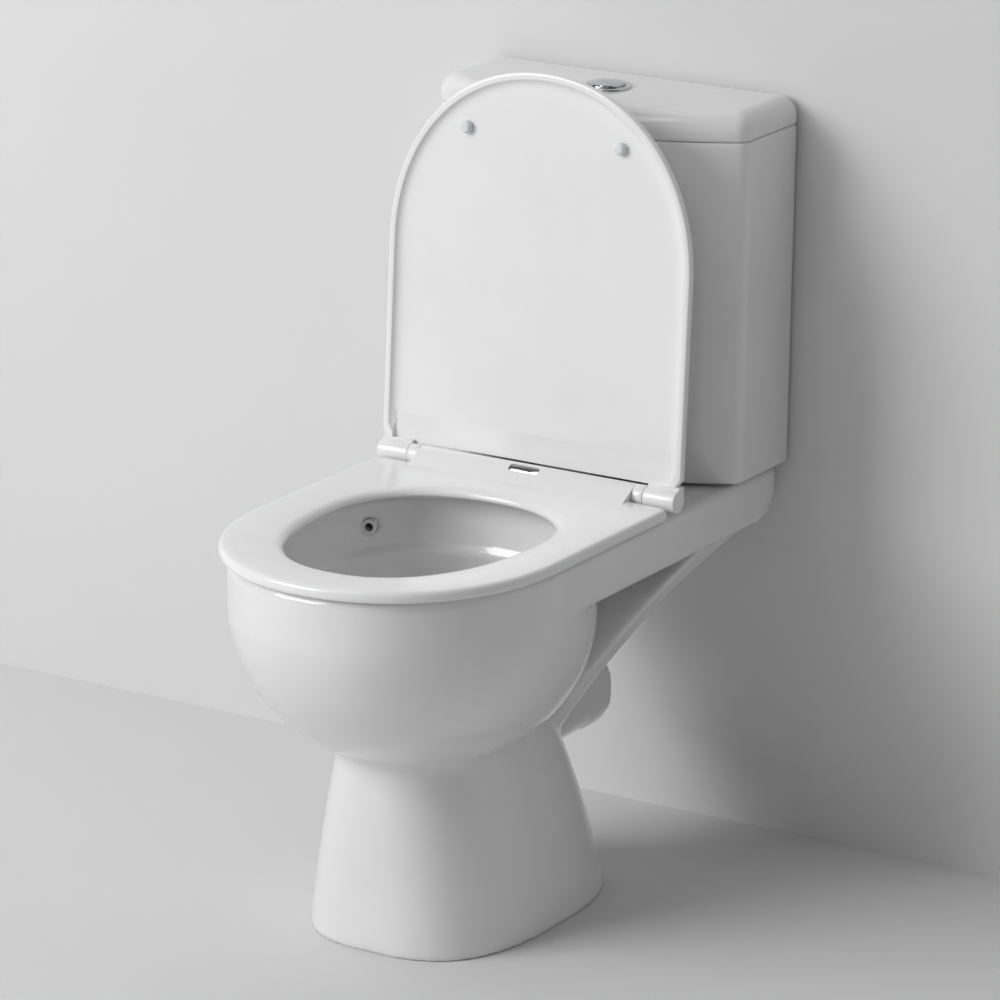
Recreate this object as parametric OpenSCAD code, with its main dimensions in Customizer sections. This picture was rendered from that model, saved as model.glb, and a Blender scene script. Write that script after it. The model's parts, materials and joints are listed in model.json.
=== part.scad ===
// Close coupled toilet: floor standing pan with a horizontal outlet, a cistern bolted to its shelf,
// a slim seat and lid on one hinge line, a dual flush valve, a fill valve and their fixings.
// Origin: middle of the footprint, on the floor. +X to the right, -Y to the front, +Z up. Millimetres.

/* [Overall] */
// Depth from the front of the seat to the back of the cistern
overall_d = 646; // [600:1:780]
// Height of the pan's top face above the floor
pan_h = 411; // [400:1:500]
// Width of the pan across its rim
pan_w = 352; // [330:1:424]
// Height of the cistern body, without its lid
cistern_h = 363; // [345:1:436]
// Width of the cistern at its top edge
cistern_w = 373; // [350:1:448]

/* [Pan] */
// Depth of the band that the rim and the rear shelf share
band_h = 51; // [48:1:60]
// Distance from the cistern's back to the widest line of the bowl
bowl_back = 430; // [420:1:440]
// Height of the narrow waist between the bowl and the foot
waist_h = 200; // [196:1:204]
// Width of the waist
waist_w = 172; // [164:1:180]
// Width of the foot on the floor
foot_w = 245; // [220:1:290]
// Distance that the foot's front is set back from the pan's front
foot_setback = 118; // [105:1:130]
// Thickness of the china in the walls of the foot, the shelf and the web
china_t = 12; // [10:1:14]
// Thickness of the shelf's top slab
slab_t = 16; // [14:1:18]
// Width of the rim round the mouth of the bowl
rim_w = 26; // [22:1:30]
// Step of the ledge under the rim
ledge_w = 8; // [4:1:10]
// Radius of the shelf's lower rear edge
shelf_r = 32; // [24:1:36]

/* [Outlet and trap] */
// Outer radius of the outlet spigot
outlet_r = 51; // [49:0.5:55]
// Height of the outlet's centre above the floor
outlet_z = 179; // [176:1:186]
// Length of the spigot that the pipe's connector slides over
spigot_l = 28; // [24:1:30]
// Distance from the cistern's back to the end of the outlet
outlet_back = 134; // [120:1:145]
// Bore radius of the outlet
outlet_bore_r = 43; // [40:1:44]
// Bore radius of the trap passage
trap_r = 30; // [27:1:32]

/* [Seat and lid] */
// Width of the seat
seat_w = 358; // [340:1:430]
// Thickness of the seat
seat_t = 12; // [11:0.5:13]
// Gap between the pan and the seat, filled by the seat buffers
seat_gap = 1.5; // [1.2:0.1:2]
// Width of the hole in the seat
seat_hole_w = 244; // [220:1:260]
// Width of the seat in front of its hole
seat_front_w = 62; // [55:1:70]
// Distance from the hinge axis to the back of the hole
seat_rear_w = 66; // [60:1:75]
// Distance from the cistern's back to the hinge axis
hinge_back = 222; // [214:1:228]
// Height of the hinge axis above the pan
hinge_rise = 16; // [16:0.5:18]
// Outer radius of the hinge barrels
barrel_r = 11.5; // [11:0.1:11.8]
// Distance from the middle to the centre of each hinge post
post_x = 136.5; // [130:0.5:138]
// Width of each hinge post
post_w = 12; // [10:0.5:14]
// Thickness of the lid
lid_t = 10.3; // [9:0.1:11]
// Width of the lid's raised edge
lid_rim_w = 7; // [6:0.5:9]
// Depth of the recess inside the lid's raised edge
lid_recess = 5.5; // [4:0.5:6]
// Distance that the closed lid stops short of the seat's front
lid_short = 6; // [3:1:10]
// Lean of the open lid past upright, in degrees
lid_lean = 4; // [2:0.5:5]

/* [Cistern] */
// Front to back depth of the cistern at its top, on the centre line
cistern_d = 160; // [150:1:192]
// Radius of the cistern's bowed front
bow_r = 330; // [320:1:420]
// Radius of the cistern's front corners
corner_r = 20; // [16:1:24]
// Draft of the cistern, the inset of its bottom edge
cistern_draft = 5.5; // [4:0.5:7]
// Wall thickness of the cistern
cistern_t = 9; // [8:0.5:10]
// Thickness of the cistern's bottom
cistern_floor_t = 12; // [10:1:13]
// Gap between the shelf and the cistern
cistern_gap = 3; // [2:0.5:4]
// Height of the cistern's lid
tank_lid_h = 30; // [28:1:36]
// Radius of the rounded top edge of the cistern's lid
tank_lid_r = 20; // [16:1:21]
// Distance from the cistern's back to the flush valve's axis
valve_back = 70; // [66:1:74]
// Distance from the middle to each coupling bolt
bolt_x = 78; // [74:1:90]

/* [Flush buttons] */
// Radius of the chrome ring's flange
ring_r = 26; // [25:0.5:28]
// Radius of the button
button_r = 18.8; // [17:0.1:18.9]
// Travel of the flush buttons
button_travel = 6; // [4:0.5:6]

/* [Water supply] */
// Free length of the inlet thread below the shelf
inlet_l = 38; // [30:1:44]
// Outer radius of the inlet thread
inlet_r = 10.45; // [10:0.05:10.6]
// Height of the fill valve's cap above the cistern's floor
fill_valve_h = 318; // [260:1:322]

/* [Hidden] */
$fn = 64;

fit = 0.05;              // running clearance of a pin or cartridge, on the radius
clear = 0.4;             // clearance between pieces that slide past each other
through = 1;             // distance that a cut runs past a face
sides = 36;              // points round a lofted ring

back_y = overall_d / 2;
front_y = -overall_d / 2;
function from_back(d) = back_y - d;

// Pan
band_z = pan_h - band_h;
pan_front = front_y + 4;
bowl_y = from_back(bowl_back);
bowl_front = bowl_y - pan_front;
bowl_rear = 181;                    // from the widest line to the outside of the bowl's back
bowl_top = band_z - 8;
bowl_drop = bowl_top - waist_h + 20;
bowl_shift = 21;                    // the bowl's middle moves back by this on its way down
slab_z = pan_h - slab_t;
pocket_back = 225;                  // the open underside of the shelf starts this far from the back
foot_front = pan_front + foot_setback;
foot_rear = from_back(188);
waist_front = foot_front + 5;
waist_rear = from_back(245);
mouth_r = 170;                      // from the widest line to the back of the bowl's mouth
weir_z = waist_h + 26;
dip_z = 96;                         // height of the trap's lowest passage
trap_bend = 48;                     // bend radius of the trap's middle line
trap_rise = 60;                     // slope of the trap's rising leg, in degrees

// Hinge line
hinge_y = from_back(hinge_back);
hinge_z = pan_h + hinge_rise;
post_in = post_x - post_w / 2;
post_out = post_x + post_w / 2;
lid_w = seat_w + 4;
barrel_end = seat_w / 2 + 1;
pin_r = 4;
cartridge_r = 7.5;
cartridge_l = 28;
stud_x = 77.5;
stud_r = 4;
plate_t = 3.2;                      // thickness of the hinge post's foot plate

// Seat
seat_z = pan_h + seat_gap;
seat_top = seat_z + seat_t;
seat_rear = hinge_y - barrel_r - 3;
dee_n = 2.09;                       // roundness of the front of the seat, the lid and the rim
hole_n = 2.24;
hole_front = front_y + seat_front_w;
hole_rear = hinge_y - seat_rear_w;
hole_y = bowl_y + 26;

// Cistern
tank_z = pan_h + cistern_gap;
tank_floor = tank_z + cistern_floor_t;
tank_top = tank_z + cistern_h;
tank_lid_top = tank_top + tank_lid_h;
valve_y = from_back(valve_back);
bolt_r = 4;
gasket_r = 48;
tail_r = 29;

// Flush valve heights
valve_seat_z = tank_floor + 12;
cage_z = tank_floor + 134;
guide_z = tank_top - 77;
rod_z = guide_z + 8 + button_travel;
valve_lift = 3 * button_travel;     // the flush lever lifts the valve this far

// Fill valve
stem_x = -135;
stem_y = from_back(75);
riser_r = 9;
guide_r = 12;
cap_z = tank_floor + fill_valve_h;
cap_h = 34;
float_travel = 25;

// Colours
china = [0.93, 0.93, 0.92];
plastic_white = [0.96, 0.96, 0.96];
chrome = [0.75, 0.76, 0.78];
steel = [0.62, 0.63, 0.65];
rubber_dark = [0.12, 0.12, 0.13];
brass = [0.78, 0.65, 0.38];
nylon = [0.82, 0.84, 0.85];
valve_grey = [0.72, 0.75, 0.78];
clear_rubber = [0.85, 0.87, 0.88];

// ---------------------------------------------------------------- shapes

// Signed power that turns a circle into a rounded square
function sup(v, n) = sign(v) * pow(abs(v), 2 / n);

// Egg shaped ring: w to the sides, f to the front and r to the rear of yc
function egg(z, yc, w, f, r, n = 2.1) = [
    for (i = [0 : sides - 1])
        let (a = 360 * i / sides)
        [w * sup(cos(a), n), yc + (sin(a) < 0 ? f : r) * sup(sin(a), n), z]
];

// Outline with straight sides and a round front
function dee(w, front, mid, rear, n = dee_n) = concat(
    [[w, rear], [-w, rear]],
    [for (i = [0 : 36])
        let (a = 180 + 5 * i)
        [w * sup(cos(a), n), mid + (mid - front) * sup(sin(a), n)]]
);

// Closed solid through rings of equal length, listed from the lowest up
module loft(rings) {
    n = len(rings[0]);
    m = len(rings);
    polyhedron(
        points = [for (r = rings) each r],
        faces = concat(
            [[for (j = [0 : n - 1]) j]],
            [[for (j = [n - 1 : -1 : 0]) (m - 1) * n + j]],
            [for (i = [0 : m - 2], j = [0 : n - 1])
                [i * n + j, (i + 1) * n + j, (i + 1) * n + (j + 1) % n]],
            [for (i = [0 : m - 2], j = [0 : n - 1])
                [i * n + j, (i + 1) * n + (j + 1) % n, i * n + (j + 1) % n]]
        ),
        convexity = 6
    );
}

// Cylinder between two points
module rod(a, b, r) {
    d = b - a;
    l = norm(d);
    translate(a)
        rotate([0, acos(d[2] / l), atan2(d[1], d[0])])
            cylinder(r = r, h = l);
}

// Cylinder along X between two places on the hinge line
module on_hinge(x0, x1, r) {
    translate([min(x0, x1), hinge_y, hinge_z])
        rotate([0, 90, 0])
            cylinder(r = r, h = abs(x1 - x0));
}

module ring_z(x, y, z, h, r, bore) {
    translate([x, y, z])
        difference() {
            cylinder(r = r, h = h);
            translate([0, 0, -through]) cylinder(r = bore, h = h + 2 * through);
        }
}

module both_sides() {
    children();
    mirror([1, 0, 0]) children();
}

// Six sided nut with a round bore
module hex_nut(x, y, z, h, across, bore) {
    translate([x, y, z])
        difference() {
            cylinder(r = across / sqrt(3), h = h, $fn = 6);
            translate([0, 0, -through]) cylinder(r = bore, h = h + 2 * through);
        }
}

// Wing nut under the shelf, its top face at z
module wing_nut(x, y, z, bore) {
    translate([x, y, z - 10])
        difference() {
            union() {
                cylinder(r = bore + 5, h = 10);
                translate([-19, -2, 1]) cube([38, 4, 8]);
            }
            translate([0, 0, -through]) cylinder(r = bore, h = 10 + 2 * through);
        }
}

// Coil spring: a round wire swept along a helix
module coil(x, y, z, h, r, wire, turns) {
    steps = 12;
    count = turns * steps;
    wire_sides = 6;
    points = [
        for (i = [0 : count], k = [0 : wire_sides - 1])
            let (a = 360 * i / steps, b = 360 * k / wire_sides)
            [(r + wire * cos(b)) * cos(a), (r + wire * cos(b)) * sin(a),
                wire + (h - 2 * wire) * i / count + wire * sin(b)]
    ];
    n = wire_sides;
    translate([x, y, z])
        polyhedron(
            points = points,
            faces = concat(
                [[for (k = [n - 1 : -1 : 0]) k]],
                [[for (k = [0 : n - 1]) count * n + k]],
                [for (i = [0 : count - 1], k = [0 : n - 1])
                    [i * n + k, i * n + (k + 1) % n, (i + 1) * n + (k + 1) % n]],
                [for (i = [0 : count - 1], k = [0 : n - 1])
                    [i * n + k, (i + 1) * n + (k + 1) % n, (i + 1) * n + k]]
            ),
            convexity = 10
        );
}

// ---------------------------------------------------------------- pan

// Height and fullness of the bowl at the share s of its drop
function bowl_z(s) = bowl_top - bowl_drop * s;
function bowl_k(s) = pow(1 - pow(s, 2.05), 1 / 2.05);
function bowl_ring(s) = egg(
    bowl_z(s), bowl_y + bowl_shift * s, pan_w / 2 * bowl_k(s), bowl_front * bowl_k(s),
    bowl_rear * bowl_k(s)
);

// Rings of the sump below the bowl, grown by t for its outside
function sump_rings(t) = [
    egg(dip_z - trap_r - t, from_back(382), 26 + t, 28 + t, 30 + t),
    egg(dip_z - trap_r / 2 - t, from_back(384), 38 + t, 42 + t, 44 + t),
    egg(dip_z + trap_r, from_back(390), 43 + t, 48 + t, 50 + t),
    egg(waist_h - 26, from_back(401), 52 + t, 60 + t, 60 + t)
];

module bowl_outside() {
    loft(concat(
        sump_rings(china_t - 1),
        [for (s = [0.88, 0.8, 0.7, 0.57, 0.43, 0.28, 0.14, 0]) bowl_ring(s)],
        [egg(band_z + 1, bowl_y, pan_w / 2 - 1, bowl_front - 1, bowl_rear)]
    ));
}

// Inside of the bowl at the share s of its drop under the ledge
ledge_z = band_z - 10;
inner_drop = ledge_z - waist_h + 14;
function inner_k(s) = pow(1 - pow(s, 2.3), 1 / 2.3);
function inner_ring(s) =
    let (k = inner_k(s), inset = rim_w + ledge_w)
    egg(ledge_z - inner_drop * s, bowl_y + bowl_shift * s, (pan_w / 2 - inset) * k,
        (bowl_front - inset) * k, (mouth_r - ledge_w) * k);
function mouth_ring(z, t) = egg(
    z, bowl_y, pan_w / 2 - rim_w - t, bowl_front - rim_w - t, mouth_r - t
);

module bowl_inside() {
    loft(concat(
        sump_rings(0),
        [for (s = [0.9, 0.8, 0.68, 0.54, 0.4, 0.24, 0]) inner_ring(s)],
        [mouth_ring(ledge_z + 7, 2), mouth_ring(pan_h + through, 0)]
    ));
}

module rim_and_shelf() {
    difference() {
        translate([0, 0, band_z])
            linear_extrude(band_h)
                polygon(dee(pan_w / 2, pan_front, bowl_y, back_y - 2));
        // open underside of the shelf, between the bowl's back and the rear wall
        translate([-pan_w / 2 + china_t, from_back(pocket_back), band_z - through])
            cube([pan_w - 2 * china_t, pocket_back - 2 - china_t, slab_z - band_z + through]);
        // rounded lower rear edge
        translate([0, back_y - 2 - shelf_r, band_z + shelf_r])
            difference() {
                translate([-pan_w, 0, -shelf_r - through])
                    cube([2 * pan_w, shelf_r + through, shelf_r + through]);
                translate([-pan_w - through, 0, 0])
                    rotate([0, 90, 0])
                        cylinder(r = shelf_r, h = 2 * pan_w + 2 * through);
            }
    }
}

// Foot ring at height z, shrunk by t for its inside
function foot_ring(z, t) =
    let (
        q = min(z, waist_h) / waist_h,
        e = 0.55 * q + 0.45 * q * q,
        f = foot_front + (waist_front - foot_front) * e + t,
        r = foot_rear + (waist_rear - foot_rear) * e - t,
        w = foot_w / 2 + (waist_w - foot_w) / 2 * e - t
    )
    egg(z, (f + r) / 2, w, (r - f) / 2, (r - f) / 2, 2.8 - 0.5 * q);

module foot() {
    difference() {
        loft(concat(
            [for (q = [0, 0.25, 0.5, 0.75, 1]) foot_ring(waist_h * q, 0)],
            [foot_ring(waist_h + 24, 10)]
        ));
        loft(concat(
            [foot_ring(-through, china_t)],
            [for (q = [0.3, 0.6, 0.9]) foot_ring(waist_h * q, china_t)]
        ));
        // arched opening in the back of the foot
        translate([0, from_back(250), 0])
            rotate([-90, 0, 0])
                linear_extrude(90)
                    union() {
                        translate([-46, -64]) square([92, 66]);
                        translate([0, -64]) circle(r = 46);
                    }
    }
}

// Web between the shelf and the foot: u runs from 0 at the foot to 1 at the shelf
function web_front(u) = from_back(268 - 30 * u - 90 * pow(max(u, 0), 2.5));
function web_back(u) = from_back(236 - 55 * u - 135 * pow(u, 3));
function web_w(u) = waist_w / 2 - 10 + (pan_w / 2 - waist_w / 2 + 4) * u;
function web_z(u) = waist_h + (band_z + 2 - waist_h) * u;

// Solid with this side profile and this front view; t thins it, reach pushes its back out
module web_block(u0, t, front_t, reach, top_z) {
    levels = [for (k = [0 : 5]) u0 + (1 - u0) * k / 5];
    intersection() {
        translate([-pan_w, 0, 0])
            rotate([90, 0, 90])
                linear_extrude(2 * pan_w)
                    polygon(concat(
                        [for (u = levels) [web_front(u) + front_t, web_z(u)]],
                        [[web_front(1) + front_t, top_z], [web_back(1) + reach, top_z]],
                        [for (k = [5 : -1 : 0]) [web_back(levels[k]) + reach, web_z(levels[k])]]
                    ));
        translate([0, back_y + pan_w, 0])
            rotate([90, 0, 0])
                linear_extrude(2 * pan_w + overall_d)
                    polygon([
                        [-web_w(u0) + t, web_z(u0) - through], [web_w(u0) - t, web_z(u0) - through],
                        [web_w(1) - t, web_z(1)], [web_w(1) - t, top_z + through],
                        [-web_w(1) + t, top_z + through], [-web_w(1) + t, web_z(1)]
                    ]);
    }
}

module web() {
    difference() {
        web_block(-0.2, 0, 0, 0, slab_z + 2);
        // hollow, open at the back
        web_block(0.3, china_t, china_t + 4, 120, slab_z + 4);
    }
}

// Middle line of the trap, as [y, z, slope]: along the dip, up to the weir, down to the outlet
trap_fall = acos(1 - (weir_z - outlet_z) / (2 * trap_bend));
trap_start = from_back(362);
trap_crest = trap_start + 2 * trap_bend * sin(trap_rise)
    + (weir_z - dip_z - 2 * trap_bend * (1 - cos(trap_rise))) / tan(trap_rise);
trap_end = trap_crest + 2 * trap_bend * sin(trap_fall);
trap_line = concat(
    [[trap_start - 22, dip_z, 0]],
    [for (k = [0 : 4])
        let (a = trap_rise * k / 4)
        [trap_start + trap_bend * sin(a), dip_z + trap_bend * (1 - cos(a)), a]],
    [for (k = [0 : 8])
        let (a = trap_rise - (trap_rise + trap_fall) * k / 8)
        [trap_crest - trap_bend * sin(a), weir_z - trap_bend * (1 - cos(a)), a]],
    [for (k = [1 : 4])
        let (a = -trap_fall * (1 - k / 4))
        [trap_end + trap_bend * sin(a), outlet_z + trap_bend * (1 - cos(a)), a]]
);

module trap_tube(r) {
    tube_sides = 16;
    loft([
        for (p = trap_line)
            [for (k = [0 : tube_sides - 1])
                let (a = 360 * (k + 0.5) / tube_sides)
                [r * cos(a), p[0] + r * sin(a) * sin(p[2]), p[1] - r * sin(a) * cos(p[2])]]
    ]);
}

// Flush way: from under the cistern forward inside the shelf, then to a jet on each side of the bowl
duct_hw = 46;
way_z = pan_h - 37;
way_y = from_back(bowl_back - mouth_r - 17);
jet_from = [146, bowl_y + 148, way_z + 4];
jet_to = [122, bowl_y + 94, way_z + 6];

module flush_duct() {
    translate([-duct_hw, from_back(255), way_z - 22])
        cube([2 * duct_hw, 255 - valve_back + duct_hw, slab_z - way_z + 23]);
}

module flush_way() {
    translate([-34, way_y - 8, way_z - 13])
        cube([68, valve_y - way_y + 34, 26]);
    translate([0, valve_y, way_z])
        cylinder(r = 34, h = slab_t + 30);
    both_sides() {
        rod([20, way_y, way_z], jet_from, 8);
        translate(jet_from) sphere(r = 9);
        rod(jet_from, jet_to, 8);
    }
}

module pan() {
    color(china)
        difference() {
            union() {
                rim_and_shelf();
                bowl_outside();
                foot();
                web();
                trap_tube(trap_r + china_t - 2);
                flush_duct();
                // outlet spigot
                rod([0, from_back(236), outlet_z], [0, from_back(outlet_back), outlet_z], outlet_r - 1);
                rod([0, from_back(outlet_back + spigot_l), outlet_z],
                    [0, from_back(outlet_back), outlet_z], outlet_r);
                // lugs for the floor screws, inside the foot
                both_sides()
                    translate([lug_x - 13, lug_y - 12.5, 0])
                        cube([29, 32.5, lug_t]);
            }
            bowl_inside();
            trap_tube(trap_r);
            rod([0, from_back(176), outlet_z], [0, from_back(outlet_back - through), outlet_z],
                outlet_bore_r);
            flush_way();
            // recess round the coupling gasket
            translate([0, valve_y, slab_z])
                cylinder(r = gasket_r + 2, h = slab_t + through);
            both_sides() {
                translate([stud_x, hinge_y, slab_z - through])
                    cylinder(r = stud_r + 3, h = slab_t + 2 * through);
                // room for the stud's washer and wing nut
                translate([stud_x, hinge_y, band_z - through])
                    cylinder(r = 23, h = slab_z - band_z + through);
                translate([bolt_x, valve_y, slab_z - through])
                    cylinder(r = bolt_r + 1.5, h = slab_t + 2 * through);
                // way for the water inlet
                translate([-stem_x, stem_y, slab_z - through])
                    cylinder(r = inlet_r + 9.5, h = slab_t + 2 * through);
                translate([lug_x, lug_y, -through])
                    cylinder(r = screw_r + 0.5, h = lug_t + 2 * through);
            }
        }
}

// ---------------------------------------------------------------- floor fixing

lug_x = 72;
lug_y = from_back(250);
lug_t = 14;
screw_r = 4;

module floor_screws() {
    color(steel)
        both_sides()
            translate([lug_x, lug_y, 0]) {
                cylinder(r = screw_r, h = lug_t + 3);
                translate([0, 0, lug_t]) cylinder(r = 9, h = 2);
                translate([0, 0, lug_t + 2]) cylinder(r = 6.5 / cos(30), h = 5, $fn = 6);
            }
}

module screw_caps() {
    color(plastic_white)
        both_sides()
            translate([lug_x, lug_y, lug_t])
                difference() {
                    cylinder(r1 = 12, r2 = 10.5, h = 10);
                    translate([0, 0, -through]) cylinder(r = 9.2, h = 8.5 + through);
                }
}

module jet_nozzles() {
    color(plastic_white)
        both_sides() {
            d = (jet_to - jet_from) / norm(jet_to - jet_from);
            difference() {
                rod(jet_to - 16 * d, jet_to - 1 * d, 7.9);
                rod(jet_to - 18 * d, jet_to + 2 * d, 4.5);
            }
        }
}

// ---------------------------------------------------------------- cistern

// Cistern outline at height z, drawn in by i at the front and the sides and by b at the back
arc_steps = 10;
bow_steps = 24;
function tank_ring(z, i, b = 0) =
    let (
        hw = cistern_w / 2 - i,
        r = max(corner_r - i, 2),
        big = bow_r - i,
        cy = back_y - cistern_d + bow_r,
        yc = cy - sqrt(pow(big - r, 2) - pow(hw - r, 2)),
        phi = atan2(yc - cy, hw - r)
    )
    concat(
        [[hw, back_y - b, z], [-hw, back_y - b, z]],
        [for (k = [0 : arc_steps])
            let (a = 180 - phi * k / arc_steps)
            [-(hw - r) + r * cos(a), yc + r * sin(a), z]],
        [for (k = [1 : bow_steps - 1])
            let (a = 180 - phi + (180 + 2 * phi) * k / bow_steps)
            [big * cos(a), cy + big * sin(a), z]],
        [for (k = [0 : arc_steps])
            let (a = phi * (1 - k / arc_steps))
            [hw - r + r * cos(a), yc + r * sin(a), z]]
    );

module cistern() {
    color(china)
        difference() {
            loft([tank_ring(tank_z, cistern_draft), tank_ring(tank_top, 0)]);
            loft([
                tank_ring(tank_floor, cistern_draft + cistern_t, cistern_t),
                tank_ring(tank_top + through, cistern_t, cistern_t)
            ]);
            translate([0, valve_y, tank_z - through])
                cylinder(r = tail_r + 2.5, h = cistern_floor_t + 2 * through);
            both_sides()
                translate([bolt_x, valve_y, tank_z - through])
                    cylinder(r = bolt_r + 1.5, h = cistern_floor_t + 2 * through);
            translate([stem_x, stem_y, tank_z - through])
                cylinder(r = inlet_r + 1, h = cistern_floor_t + 2 * through);
        }
}

module cistern_lid() {
    top_wall = 13;
    lid_low = tank_top + clear / 2;
    round_z = tank_lid_top - tank_lid_r;
    color(china)
        difference() {
            union() {
                loft(concat(
                    [tank_ring(lid_low, 0.8, 0), tank_ring(lid_low + 0.8, 0, 0)],
                    [for (a = [0 : 15 : 90])
                        tank_ring(round_z + tank_lid_r * sin(a), tank_lid_r * (1 - cos(a)),
                            3 * (1 - cos(a)))]
                ));
                // lip that keeps the lid in place inside the cistern
                loft([
                    tank_ring(tank_top - 8, cistern_t + 2.5, cistern_t + 2.5),
                    tank_ring(tank_top + 4, cistern_t + 1.5, cistern_t + 1.5)
                ]);
            }
            loft([
                tank_ring(tank_top - 8 - through, cistern_t + 7, cistern_t + 7),
                tank_ring(tank_lid_top - top_wall, cistern_t + 10, cistern_t + 7)
            ]);
            translate([0, valve_y, tank_lid_top - top_wall - through])
                cylinder(r = sleeve_r + 0.6, h = top_wall + 2 * through);
        }
}

module coupling_gasket() {
    color(rubber_dark)
        ring_z(0, valve_y, slab_z + 0.5, tank_z - slab_z - 0.7, gasket_r, 40.5);
}

module coupling_bolts() {
    color(brass)
        both_sides()
            translate([bolt_x, valve_y, 0]) {
                translate([0, 0, slab_z - 26]) cylinder(r = bolt_r, h = tank_floor + 4 - slab_z + 26);
                translate([0, 0, tank_floor + 4]) cylinder(r = 10, h = 4);
            }
}

module bolt_seals() {
    color(rubber_dark)
        both_sides()
            ring_z(bolt_x, valve_y, tank_floor, 4, 12, bolt_r + fit);
}

module coupling_washers() {
    color(steel)
        both_sides()
            ring_z(bolt_x, valve_y, slab_z - 2, 2, 13, bolt_r + fit);
}

module coupling_nuts() {
    color(brass)
        both_sides()
            wing_nut(bolt_x, valve_y, slab_z - 2, bolt_r + fit);
}

// ---------------------------------------------------------------- seat hinge

module hinge_post() {
    color(plastic_white)
        difference() {
            union() {
                on_hinge(post_in, post_out, barrel_r);
                translate([post_in, hinge_y - 9, pan_h])
                    cube([post_w, 20, hinge_rise]);
                translate([stud_x - 14, hinge_y - 12, pan_h])
                    cube([post_out - stud_x + 14, 26, plate_t]);
            }
            on_hinge(post_in - through, post_out + through, pin_r);
            translate([stud_x, hinge_y, pan_h - through])
                cylinder(r = stud_r + fit, h = plate_t + 2 * through);
            translate([stud_x, hinge_y, pan_h + plate_t - 2.6])
                cylinder(r1 = stud_r + fit, r2 = stud_r + 3.2, h = 2.7);
        }
}

module hinge_post_right() {
    hinge_post();
}

module hinge_post_left() {
    mirror([1, 0, 0]) hinge_post();
}

module hinge_pin() {
    color(steel)
        on_hinge(post_in - 20, post_out + 26, pin_r - 0.01);
}

module hinge_pin_right() {
    hinge_pin();
}

module hinge_pin_left() {
    mirror([1, 0, 0]) hinge_pin();
}

module seat_studs() {
    color(steel)
        both_sides()
            translate([stud_x, hinge_y, 0]) {
                translate([0, 0, slab_z - 40]) cylinder(r = stud_r, h = pan_h + plate_t - 2.6 - slab_z + 40);
                translate([0, 0, pan_h + plate_t - 2.6])
                    cylinder(r1 = stud_r, r2 = stud_r + 3, h = 2.5);
            }
}

module stud_sleeves() {
    color(rubber_dark)
        both_sides()
            ring_z(stud_x, hinge_y, slab_z, slab_t - 0.2, stud_r + 2.8, stud_r + fit);
}

module stud_washers() {
    color(plastic_white)
        both_sides()
            ring_z(stud_x, hinge_y, slab_z - 3, 3, 14, stud_r + fit);
}

module stud_nuts() {
    color(plastic_white)
        both_sides()
            wing_nut(stud_x, hinge_y, slab_z - 3, stud_r + fit);
}

// ---------------------------------------------------------------- seat

// Pocket and button sit on the front of the barrel's top, at 45 degrees
module on_barrel_front() {
    translate([0, hinge_y, hinge_z])
        rotate([45, 0, 0])
            children();
}

module seat() {
    color(plastic_white)
        difference() {
            union() {
                translate([0, 0, seat_z])
                    linear_extrude(seat_t)
                        polygon(dee(seat_w / 2, front_y, bowl_y - 22, seat_rear));
                on_hinge(-post_in + clear, post_in - clear, barrel_r);
                // shoulder that carries the seat into its barrel
                translate([-post_in + clear, seat_rear - 8, hinge_z - 9])
                    cube([2 * (post_in - clear), barrel_r + 11, seat_top - hinge_z + 9]);
            }
            // hole, wider at its top edge
            loft([
                egg(seat_z - through, hole_y, seat_hole_w / 2 - 1, hole_y - hole_front - 1,
                    hole_rear - hole_y - 1, hole_n),
                egg(seat_z + seat_t / 2, hole_y, seat_hole_w / 2, hole_y - hole_front,
                    hole_rear - hole_y, hole_n),
                egg(seat_top + through, hole_y, seat_hole_w / 2 + 5, hole_y - hole_front + 5,
                    hole_rear - hole_y + 5, hole_n)
            ]);
            both_sides()
                on_hinge(post_in - clear - cartridge_l, post_in + through, cartridge_r + fit);
            on_barrel_front()
                translate([-18, -4.4, 0])
                    cube([36, 8.8, 20]);
        }
}

module cartridge(x0, x1) {
    difference() {
        on_hinge(x0, x1, cartridge_r);
        on_hinge(x0 - through, x1 + through, pin_r + fit);
    }
}

module seat_damper() {
    color(valve_grey)
        cartridge(-post_in + clear, -post_in + clear + cartridge_l);
}

module seat_bush() {
    color(nylon)
        cartridge(post_in - clear - cartridge_l, post_in - clear);
}

buffer_gap = 0.1;
module seat_buffers() {
    color(clear_rubber)
        both_sides() {
            for (y = [bowl_y + 120, bowl_y - 60])
                translate([pan_w / 2 - 16, y, pan_h + buffer_gap])
                    cylinder(r = 5, h = seat_gap - buffer_gap);
            translate([70, pan_front + 34, pan_h + buffer_gap])
                cylinder(r = 5, h = seat_gap - buffer_gap);
        }
}

module release_button() {
    color(chrome)
        on_barrel_front()
            intersection() {
                translate([-20, 0, 0])
                    rotate([0, 90, 0])
                        cylinder(r = barrel_r - 0.4, h = 40);
                translate([-17.5, -3.9, 3.2])
                    cube([35, 7.8, 12]);
            }
}

// ---------------------------------------------------------------- lid

// The lid is drawn closed and turned up about the hinge
module opened() {
    translate([0, hinge_y, hinge_z])
        rotate([-90 - lid_lean, 0, 0])
            translate([0, -hinge_y, -hinge_z])
                children();
}

lid_front = front_y + lid_short;
lid_mid = bowl_y - 22 + lid_short;
lid_rear = hinge_y - barrel_r - 1;

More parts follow.
